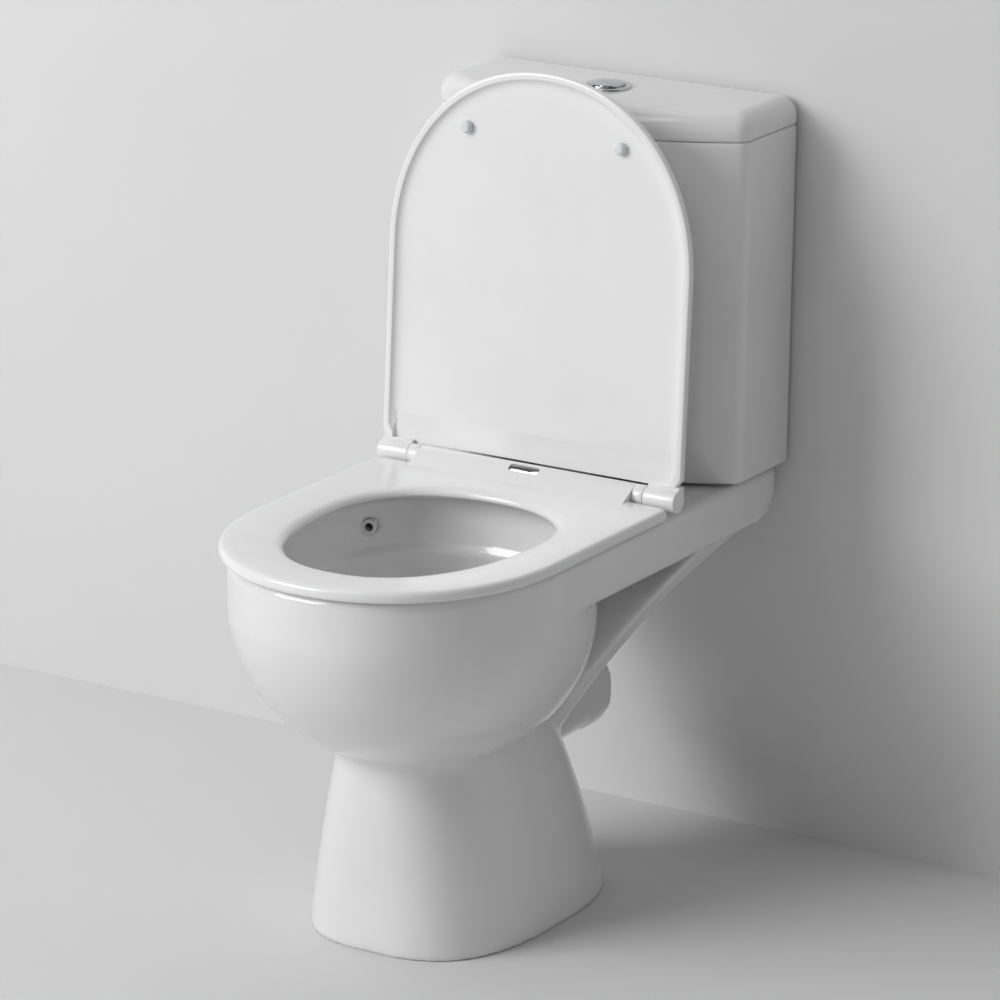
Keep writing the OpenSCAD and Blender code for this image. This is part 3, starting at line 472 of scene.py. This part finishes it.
def tank_ring(z, inset, back_inset=None, arc=12, front=40):
    """Outline of the tank: back edge, two rounded front corners and a bowed front."""
    back = tank_back - (inset if back_inset is None else back_inset)
    half = half_tank - inset
    corner = max(0.020 - inset, 0.002)
    big = bow - inset
    middle = tank_back - 0.160 + bow
    corner_y = middle - sqrt((big - corner) ** 2 - (half - corner) ** 2)
    turn = atan2(corner_y - middle, half - corner)
    ring = []
    for k in range(7):
        a = pi / 2 * k / 6
        ring.append((half - 0.003 + 0.003 * cos(a), back - 0.003 + 0.003 * sin(a), z))
    for k in range(7):
        a = pi / 2 + pi / 2 * k / 6
        ring.append((-half + 0.003 + 0.003 * cos(a), back - 0.003 + 0.003 * sin(a), z))
    for k in range(arc + 1):
        a = pi - turn * k / arc
        ring.append((-(half - corner) + corner * cos(a), corner_y + corner * sin(a), z))
    for k in range(1, front):
        a = pi - turn + (pi + 2 * turn) * k / front
        ring.append((big * cos(a), middle + big * sin(a), z))
    for k in range(arc + 1):
        a = turn * (1 - k / arc)
        ring.append((half - corner + corner * cos(a), corner_y + corner * sin(a), z))
    return ring


tank_draft = 0.0055
tank_wall = 0.009
tank_floor = tank_low.z + 0.012
tank = loft(
    "glazed_cistern",
    [
        tank_ring(tank_low.z, tank_draft + 0.004, 0.002),
        tank_ring(tank_low.z + 0.0006, tank_draft + 0.002, 0.001),
        tank_ring(tank_low.z + 0.002, tank_draft + 0.0006, 0.0003),
        tank_ring(tank_low.z + 0.005, tank_draft, 0),
        tank_ring(tank_high.z - 0.004, 0.0001, 0),
        tank_ring(tank_high.z - 0.0012, 0.0006, 0.0006),
        tank_ring(tank_high.z - 0.0003, 0.0015, 0.0015),
        tank_ring(tank_high.z, 0.003, 0.003),
        tank_ring(tank_high.z, tank_wall - 0.001, tank_wall - 0.001),
        tank_ring(tank_high.z - 0.002, tank_wall, tank_wall),
        tank_ring(tank_floor + 0.010, tank_draft + tank_wall, tank_wall),
        tank_ring(tank_floor + 0.003, tank_draft + tank_wall + 0.003, tank_wall + 0.003),
        tank_ring(tank_floor, tank_draft + tank_wall + 0.010, tank_wall + 0.010),
    ],
)
floor_middle, floor_cut = tank_low.z + 0.006, 0.020
tank_holes = [rod("valve hole", (0, valve_y, floor_middle), 0.0315, floor_cut)]
for s in (-1, 1):
    bolt_place = (s * bolt_x, valve_y, floor_middle)
    tank_holes.append(rod("bolt hole", bolt_place, screw_hole_r, floor_cut, sides=32))
tank_holes.append(rod("inlet hole", (-inlet_x, inlet_y, floor_middle), 0.01145, floor_cut, sides=40))
tank = combine(tank, tank_holes, "DIFFERENCE")
smooth(tank, 32)
tank.data.materials.clear()
tank.data.materials.append(china)
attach(tank, "pan_and_cistern")
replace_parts(tank, "cistern")

# ---------------------------------------------------------------- cistern lid
# Thick china cover with a large soft edge, resting on the tank's rim with a lip inside it.
# The push button clamps through a round hole on the centre line.
cover_low, cover_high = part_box("cistern_lid")
cover_seam = tank_high.z + 0.0003
edge_r = 0.020
cover_rings = [
    tank_ring(cover_high.z - 0.014, tank_wall + 0.016, tank_wall + 0.012),
    tank_ring(cover_high.z - 0.015, tank_wall + 0.011, tank_wall + 0.008),
    tank_ring(cover_low.z + 0.002, tank_wall + 0.0075, tank_wall + 0.0075),
    tank_ring(cover_low.z, tank_wall + 0.006, tank_wall + 0.006),
    tank_ring(cover_low.z, tank_wall + 0.0035, tank_wall + 0.0035),
    tank_ring(cover_low.z + 0.001, tank_wall + 0.0025, tank_wall + 0.0025),
    tank_ring(cover_seam - 0.0003, tank_wall + 0.0015, tank_wall + 0.0015),
    tank_ring(cover_seam, tank_wall + 0.0005, tank_wall + 0.0005),
    tank_ring(cover_seam, 0.0028, 0.0028),
    tank_ring(cover_seam + 0.0004, 0.0013, 0.0013),
    tank_ring(cover_seam + 0.0013, 0.0004, 0.0004),
    tank_ring(cover_seam + 0.003, 0, 0),
]
for k in range(13):
    a = radians(7.5 * k)
    drawn_in = 1 - cos(a)
    cover_rings.append(
        tank_ring(cover_high.z - edge_r - 0.0002 + edge_r * sin(a), edge_r * drawn_in, 0.004 * drawn_in)
    )
cover_rings.append(tank_ring(cover_high.z, edge_r + 0.012, 0.010))
cover = loft("glazed_cistern_lid", cover_rings)
button_hole = rod("button hole", (0, valve_y, cover_high.z - 0.005), 0.0226, 0.040)
cover = combine(cover, [button_hole], "DIFFERENCE")
smooth(cover, 35)
cover.data.materials.clear()
cover.data.materials.append(china)
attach(cover, "tank_lid")
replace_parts(cover, "cistern_lid")

# ---------------------------------------------------------------- seat
# Pressed in white thermoset: a slim plate with straight sides, gently dished to its hole.
# Its rear edge grows into a round barrel that turns on the hinge pins.
seat_low, seat_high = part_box("seat")
seat_half = seat_high.x
seat_under = seat_low.z
seat_top = seat_under + 0.012
seat_mid = widest_y - 0.022
seat_rear = 0.0865
hole_mid = widest_y + 0.026
hole_half = 0.122
hole_front = hole_mid - (seat_low.y + 0.062)
hole_rear = hinge_y - 0.066 - hole_mid


def dee(half, front, middle, rear, corner, steps=180):
    """Outline with a round front, straight sides and small rear corners, as fine points."""
    points = []
    for k in range(9):
        a = pi / 2 * k / 8
        points.append((half - corner + corner * cos(a), rear - corner + corner * sin(a)))
    for k in range(9):
        a = pi / 2 + pi / 2 * k / 8
        points.append((-half + corner + corner * cos(a), rear - corner + corner * sin(a)))
    for k in range(steps + 1):
        a = pi + pi * k / steps
        x, y = signed_power(cos(a), 2.09), signed_power(sin(a), 2.09)
        points.append((half * x, middle + (middle - front) * y))
    return points


def spokes(outline, middle, sides=168):
    """The outline's points straight out from the hole's middle, one for each direction."""
    found = []
    for i in range(sides):
        a = 2 * pi * (i + 0.5) / sides
        dx, dy = cos(a), sin(a)
        best = 0
        for (x0, y0), (x1, y1) in zip(outline, outline[1:] + outline[:1]):
            ex, ey = x1 - x0, y1 - y0
            den = dx * ey - dy * ex
            if abs(den) < 1e-12:
                continue
            t = (x0 * ey - (y0 - middle) * ex) / den
            s = (x0 * dy - (y0 - middle) * dx) / den
            if t > 0 and -1e-9 <= s <= 1 + 1e-9:
                best = max(best, t)
        found.append((best * dx, middle + best * dy))
    return found


def seat_outline(inset):
    return spokes(dee(seat_half - inset, seat_low.y + inset, seat_mid, seat_rear - inset, 0.008), hole_mid)


def hole_outline(grow):
    ring = egg(0, hole_mid, hole_half + grow, hole_front + grow, hole_rear + grow, 2.24, 360)
    return spokes([(x, y) for x, y, _ in ring], hole_mid)


def level(points, z):
    return [(x, y, z) for x, y in points]


outer, inner = seat_outline(0.005), hole_outline(0.006)
seat_rings = [
    level(seat_outline(0.0035), seat_under),
    level(seat_outline(0.0012), seat_under + 0.0007),
    level(seat_outline(0.0003), seat_under + 0.0022),
    level(seat_outline(0), seat_under + 0.0045),
    level(seat_outline(0.0003), seat_top - 0.0040),
    level(seat_outline(0.0012), seat_top - 0.0020),
    level(seat_outline(0.0028), seat_top - 0.0006),
    level(outer, seat_top),
]
for share in (0.2, 0.4, 0.55, 0.68, 0.78, 0.86, 0.93, 1):
    dish = 0.0024 * max(0, (share - 0.35) / 0.65) ** 2
    seat_rings.append(
        [
            (a + (c - a) * share, b + (d - b) * share, seat_top - dish)
            for (a, b), (c, d) in zip(outer, inner)
        ]
    )
seat_rings += [
    level(hole_outline(0.0032), seat_top - 0.0038),
    level(hole_outline(0.0014), seat_top - 0.0056),
    level(hole_outline(0.0004), seat_top - 0.0078),
    level(hole_outline(0.0003), seat_under + 0.0026),
    level(hole_outline(0.0011), seat_under + 0.0010),
    level(hole_outline(0.0030), seat_under),
]
seat = loft("pressed_seat", seat_rings, closed=True)
post_in = 0.1301
barrel_r = 0.0115
seat_barrel = rod("seat barrel", (0, hinge_y, hinge_z), barrel_r, 2 * post_in, "X", 72)
apply_modifier(
    seat_barrel, "BEVEL", width=0.0008, segments=3, limit_method="ANGLE", angle_limit=radians(50)
)
shoulder = block(
    "shoulder", (-post_in, seat_rear - 0.010, seat_under + 0.0055), (post_in, hinge_y - 0.004, seat_top)
)
# a slope carries the seat's top up to the crown of the barrel
ramp = block(
    "ramp", (-post_in, hinge_y - 0.028, seat_top - 0.002), (post_in, hinge_y - 0.006, hinge_z + 0.0098)
)
for v in ramp.data.vertices:
    if v.co.y < hinge_y - 0.020 and v.co.z > seat_top:
        v.co.z = seat_top + 0.00005
seat = combine(seat, [seat_barrel, shoulder, ramp], "UNION")
pocket_tool = block("button pocket", (-0.018, -0.0044, 0), (0.018, 0.0044, 0.020))
apply_modifier(pocket_tool, "BEVEL", width=0.0030, segments=4, limit_method="NONE")
for v in pocket_tool.data.vertices:
    y, z = v.co.y, v.co.z
    v.co.y = hinge_y + (y - z) * cos(pi / 4)
    v.co.z = hinge_z + (y + z) * cos(pi / 4)
pocket_tool.name = "button pocket"
seat = combine(seat, [pocket_tool], "DIFFERENCE")
ends = [rod("cartridge bore", (s * 0.117, hinge_y, hinge_z), 0.00755, 0.0275, "X", 48) for s in (-1, 1)]
seat = combine(seat, ends, "DIFFERENCE")
smooth(seat, 28)
seat_white = finish_material(
    "white thermoset", [(0.86, 0.86, 0.86), (0.885, 0.885, 0.885)], (0.15, 0.24), 12, 30,
    [(26, 0.0002, even), (900, 0.000006, even)], IOR=1.5, Coat_Weight=0.15, Coat_Roughness=0.1
)
seat.data.materials.clear()
seat.data.materials.append(seat_white)
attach(seat, "seat")
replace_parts(seat, "seat")

# ---------------------------------------------------------------- lid
# Same white thermoset: a thin cover with a raised edge round its inner face.
# It carries a round knuckle at each rear corner, which turns on the end of the hinge pin.
lid_half = seat_half + 0.002
lid_front = seat_low.y + 0.006
lid_mid = seat_mid + 0.006
lid_rear = hinge_y - barrel_r - 0.001
lid_under = hinge_z
lid_top = hinge_z + 0.0103
recess = 0.0055


def lid_ring(z, inset):
    outline = dee(lid_half - inset, lid_front + inset, lid_mid, lid_rear - inset, max(0.009 - inset, 0.003))
    return level(spokes(outline, lid_mid), z)


lid = loft(
    "pressed_lid",
    [
        lid_ring(lid_under + recess, 0.030),
        lid_ring(lid_under + recess - 0.0001, 0.019),
        lid_ring(lid_under + recess - 0.0008, 0.0135),
        lid_ring(lid_under + recess - 0.0024, 0.0098),
        lid_ring(lid_under + 0.0012, 0.0080),
        lid_ring(lid_under + 0.0003, 0.0072),
        lid_ring(lid_under, 0.0062),
        lid_ring(lid_under, 0.0026),
        lid_ring(lid_under + 0.0004, 0.0012),
        lid_ring(lid_under + 0.0014, 0.0003),
        lid_ring(lid_under + 0.0030, 0),
        lid_ring(lid_top - 0.0035, 0),
        lid_ring(lid_top - 0.0018, 0.0006),
        lid_ring(lid_top - 0.0005, 0.0020),
        lid_ring(lid_top, 0.0045),
    ],
)
# the recess runs out at the hinge, between the side rims
run_out = block("run out", (-lid_half + 0.0125, lid_rear - 0.030, lid_under - 0.004),
                (lid_half - 0.0125, lid_rear + 0.004, lid_under + recess))
apply_modifier(run_out, "BEVEL", width=0.0030, segments=4, limit_method="NONE")
lid = combine(lid, [run_out], "DIFFERENCE")
post_out = 0.1429
barrel_end = seat_half + 0.001
knuckles = []
for s in (-1, 1):
    centre = s * (post_out + barrel_end) / 2
    knuckle = rod("lid knuckle", (centre, hinge_y, hinge_z), barrel_r, barrel_end - post_out, "X", 72)
    apply_modifier(
        knuckle, "BEVEL", width=0.0011, segments=4, limit_method="ANGLE", angle_limit=radians(50)
    )
    knuckles.append(knuckle)
    neck = block("knuckle neck", (min(s * post_out, s * barrel_end), lid_rear - 0.002, lid_under),
                 (max(s * post_out, s * barrel_end), hinge_y, lid_top))
    apply_modifier(neck, "BEVEL", width=0.0008, segments=3, limit_method="NONE")
    knuckles.append(neck)
lid = combine(lid, knuckles, "UNION")
ends = [rod("cartridge bore", (s * 0.1587, hinge_y, hinge_z), 0.00755, 0.0334, "X", 48) for s in (-1, 1)]
lid = combine(lid, ends, "DIFFERENCE")
lid_turn = radians(-94)
for v in lid.data.vertices:
    y, z = v.co.y - hinge_y, v.co.z - hinge_z
    v.co.y = hinge_y + y * cos(lid_turn) - z * sin(lid_turn)
    v.co.z = hinge_z + y * sin(lid_turn) + z * cos(lid_turn)
smooth(lid, 28)
lid.data.materials.clear()
lid.data.materials.append(seat_white)
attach(lid, "lid")
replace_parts(lid, "lid")

# ---------------------------------------------------------------- push button
# Chromed ring clamped through the lid, round a domed button split by a curved line.
# The larger front part flushes fully, the crescent behind it flushes half.
chrome = finish_material(
    "polished chrome", [(0.56, 0.57, 0.58), (0.63, 0.63, 0.64)], (0.03, 0.09), 60, 90,
    [(140, 0.00001, even), (1500, 0.000002, even)], Metallic=1.0
)
button_y = valve_y
lid_plane = cover_high.z


def turned(profile, sides=96):
    """Round part from its profile of (radius, height) pairs."""
    rings = [
        [(r * cos(2 * pi * k / sides), button_y + r * sin(2 * pi * k / sides), z) for k in range(sides)]
        for r, z in profile
    ]
    return rings


ring = loft(
    "chrome_ring",
    turned([
        (0.0219, lid_plane - 0.0300), (0.0220, lid_plane - 0.0295), (0.0220, lid_plane),
        (0.0256, lid_plane), (0.0260, lid_plane + 0.0005), (0.0260, lid_plane + 0.0012),
        (0.0256, lid_plane + 0.0020), (0.0248, lid_plane + 0.0025), (0.0204, lid_plane + 0.0025),
        (0.0197, lid_plane + 0.0022), (0.0193, lid_plane + 0.0014), (0.0192, lid_plane),
        (0.0192, lid_plane - 0.0280),
    ]),
)
ring_holes = [
    rod("rod hole", (0, button_y - 0.006, lid_plane - 0.029), 0.0034, 0.008, sides=32),
    rod("rod hole", (0, button_y + 0.0142, lid_plane - 0.029), 0.0034, 0.008, sides=32),
]
ring = combine(ring, ring_holes, "DIFFERENCE")
smooth(ring, 35)
ring.data.materials.clear()
ring.data.materials.append(chrome)
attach(ring, "tank_lid")
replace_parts(ring, "button_ring")

dome_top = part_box("full_button")[1].z
for name, node, body, rod_y, rod_r in (
    ("full_flush_button", "full_button", "full_flush", -0.006, 0.003),
    ("half_flush_button", "half_button", "half_flush", 0.0142, 0.0025),
):
    dome = [(0.0180, dome_top - 0.0120), (0.0188, dome_top - 0.0112)]
    for r in (0.0188, 0.0180, 0.0165, 0.0145, 0.0120, 0.0090, 0.0060, 0.0030, 0.0006):
        drop = 0.060 - sqrt(0.060**2 - r * r) + (0.0006 if r > 0.0185 else 0)
        dome.append((r, dome_top - drop))
    cap = loft(name, turned(dome))
    if node == "full_button":
        split = rod("split", (0, button_y - 0.012, dome_top - 0.006), 0.022, 0.030, sides=128)
        cap = combine(cap, [split], "INTERSECT")
    else:
        split = rod("split", (0, button_y - 0.012, dome_top - 0.006), 0.0224, 0.030, sides=128)
        cap = combine(cap, [split], "DIFFERENCE")
    apply_modifier(cap, "BEVEL", width=0.0004, segments=2, limit_method="ANGLE", angle_limit=radians(50))
    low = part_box(node)[0].z
    high = dome_top - 0.010
    stem = rod("stem", (0, button_y + rod_y, (low + high) / 2), rod_r, high - low, sides=32)
    cap = combine(cap, [stem], "UNION")
    smooth(cap, 30)
    cap.data.materials.clear()
    cap.data.materials.append(chrome)
    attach(cap, body)
    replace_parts(cap, node)

# ---------------------------------------------------------------- quick release button
# Small chromed bar in a recess of the seat's barrel; pressing it lets the seat off its posts.
release = rod("release_bar", (0, hinge_y, hinge_z), 0.0111, 0.0346, "X", 96)
keep = block("bar body", (-0.0172, -0.0038, 0.0034), (0.0172, 0.0038, 0.0150))
for v in keep.data.vertices:
    y, z = v.co.y, v.co.z
    v.co.y = hinge_y + (y - z) * cos(pi / 4)
    v.co.z = hinge_z + (y + z) * cos(pi / 4)
release = combine(release, [keep], "INTERSECT")
apply_modifier(release, "BEVEL", width=0.0010, segments=4, limit_method="ANGLE", angle_limit=radians(40))
smooth(release, 35)
release.data.materials.clear()
release.data.materials.append(chrome)
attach(release, "release")
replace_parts(release, "release_button")

# ---------------------------------------------------------------- hinge, fixings and fittings
# Moulded and turned pieces that hold the seat and the cistern, and the valves inside the tank.
# The pieces listed in softened keep their turned shape, with their edges broken as they leave the mould or
# the lathe; the others keep their shape and only take their finish.
nylon = finish_material(
    "moulded white nylon", [(0.78, 0.79, 0.78), (0.84, 0.84, 0.83)], (0.38, 0.52), 25, 60,
    [(300, 0.00004, even)], IOR=1.53, Subsurface_Weight=0.05
)
grey_plastic = finish_material(
    "moulded grey plastic", [(0.44, 0.48, 0.52), (0.50, 0.53, 0.57)], (0.34, 0.50), 25, 60,
    [(260, 0.00005, even), (40, 0.0001, even)], IOR=1.5
)
zinc = finish_material(
    "zinc plated steel", [(0.52, 0.53, 0.55), (0.64, 0.64, 0.66)], (0.24, 0.42), 50, 120,
    [(500, 0.00002, (1, 1, 0.1)), (90, 0.00004, even)], Metallic=1.0
)
brass = finish_material(
    "turned brass", [(0.66, 0.50, 0.24), (0.78, 0.61, 0.32)], (0.22, 0.38), 45, 100,
    [(600, 0.00002, (1, 1, 8)), (80, 0.00004, even)], Metallic=1.0
)
black_rubber = finish_material(
    "black rubber", [(0.012, 0.012, 0.013), (0.028, 0.028, 0.03)], (0.52, 0.72), 35, 70,
    [(700, 0.00006, even), (60, 0.0001, even)]
)
pale_rubber = finish_material(
    "pale silicone", [(0.70, 0.71, 0.72), (0.78, 0.79, 0.80)], (0.28, 0.42), 40, 80,
    [(400, 0.00003, even)], IOR=1.41, Subsurface_Weight=0.1
)
finish_of_slot = {
    "glaze": china,
    "seat_plastic": seat_white,
    "chrome": chrome,
    "steel": zinc,
    "brass": brass,
    "dark_rubber": black_rubber,
    "pale_rubber": pale_rubber,
    "white_nylon": nylon,
    "grey_plastic": grey_plastic,
}
softened = {
    "hinge_post_left": 0.0007,
    "hinge_post_right": 0.0007,
    "hinge_pin_left": 0.0004,
    "hinge_pin_right": 0.0004,
    "screw_caps": 0.0008,
    "stud_nuts": 0.0006,
    "stud_washers": 0.0004,
    "coupling_nuts": 0.0005,
    "coupling_bolts": 0.0005,
    "coupling_gasket": 0.0010,
    "seat_buffers": 0.0003,
    "lid_buffers": 0.0006,
    "inlet_nut": 0.0006,
    "button_nut": 0.0006,
    "valve_backnut": 0.0006,
    "fill_float": 0.0012,
    "valve_float": 0.0010,
}
body_of = {n: b for b, members in frame["record"]["behaviour"]["bodies"].items() for n in members}
done = {n for o in bpy.data.objects for n in o.get("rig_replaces", [])}
for part in frame["record"]["subparts"]:
    node, slot_name = part["node"], part["material_slot"]
    if node in done:
        continue
    source = frame["nodes"][node]
    if node not in softened:
        source.data.materials.clear()
        source.data.materials.append(finish_of_slot[slot_name])
        continue
    bpy.ops.object.select_all(action="DESELECT")
    piece = source.copy()
    piece.data = source.data.copy()
    piece.parent = None
    for key in list(piece.keys()):
        del piece[key]
    piece.name = node + "_finished"
    bpy.context.scene.collection.objects.link(piece)
    piece.select_set(True)
    bpy.context.view_layer.objects.active = piece
    bpy.ops.object.mode_set(mode="EDIT")
    bpy.ops.mesh.select_all(action="SELECT")
    bpy.ops.mesh.remove_doubles(threshold=0.00001)
    bpy.ops.mesh.dissolve_limited(angle_limit=radians(0.5))
    bpy.ops.object.mode_set(mode="OBJECT")
    apply_modifier(
        piece, "BEVEL", width=softened[node], segments=2, limit_method="ANGLE", angle_limit=radians(40)
    )
    smooth(piece, 35)
    piece.data.materials.clear()
    piece.data.materials.append(finish_of_slot[slot_name])
    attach(piece, body_of[node])
    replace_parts(piece, node)

# ---------------------------------------------------------------- studio
# Pale floor and pale wall, a large soft light to the front left and a weak one to the right.
# The wall shows from its front alone, so the back of the cistern can be seen from behind.
plaster = finish_material(
    "pale backdrop", [(0.72, 0.72, 0.725), (0.74, 0.74, 0.745)], (0.7, 0.8), 2, 4, [(90, 0.00005, even)]
)
bpy.ops.object.select_all(action="DESELECT")
bpy.ops.mesh.primitive_plane_add(size=14, location=(0, -6.671, 0))
floor = bpy.context.object
floor.name = "floor"
floor.data.materials.append(plaster)
wall_y = 0.329
bpy.ops.mesh.primitive_plane_add(size=14, location=(0, wall_y, 7), rotation=(pi / 2, 0, 0))
wall = bpy.context.object
wall.name = "wall"
one_sided = plaster.copy()
one_sided.name = "pale wall"
nodes, links = one_sided.node_tree.nodes, one_sided.node_tree.links
clear = nodes.new("ShaderNodeBsdfTransparent")
facing = nodes.new("ShaderNodeNewGeometry")
either = nodes.new("ShaderNodeMixShader")
links.new(facing.outputs["Backfacing"], either.inputs["Fac"])
links.new(nodes["Principled BSDF"].outputs["BSDF"], either.inputs[1])
links.new(clear.outputs["BSDF"], either.inputs[2])
links.new(either.outputs["Shader"], nodes["Material Output"].inputs["Surface"])
wall.data.materials.append(one_sided)

world = bpy.data.worlds.new("studio")
bpy.context.scene.world = world
world.use_nodes = True
world.node_tree.nodes["Background"].inputs["Color"].default_value = (0.82, 0.82, 0.83, 1)
world.node_tree.nodes["Background"].inputs["Strength"].default_value = 0.18

middle = Vector((0, 0, 0.42))
for name, place, size, watts in (
    ("key light", (-2.4, -3.2, 2.5), 2.4, 130),
    ("fill light", (1.6, -3.6, 1.6), 2.4, 6),
    ("top light", (-0.6, -1.6, 3.4), 1.6, 16),
):
    lamp = bpy.data.lights.new(name, "AREA")
    lamp.shape = "SQUARE"
    lamp.size = size
    lamp.energy = watts
    holder = bpy.data.objects.new(name, lamp)
    bpy.context.scene.collection.objects.link(holder)
    holder.location = place
    holder.rotation_euler = (middle - Vector(place)).to_track_quat("-Z", "Y").to_euler()

bpy.context.scene.view_settings.view_transform = "Standard"
camera = bpy.data.cameras.new("camera")
camera.lens = 201.6
camera.sensor_width = 36
camera.clip_end = 60
stand = bpy.data.objects.new("camera", camera)
bpy.context.scene.collection.objects.link(stand)
stand.location = (2.9306, -4.5801, 2.0937)
stand.rotation_euler = Vector((-0.5116, 0.8077, -0.2932)).to_track_quat("-Z", "Y").to_euler()
bpy.context.scene.camera = stand
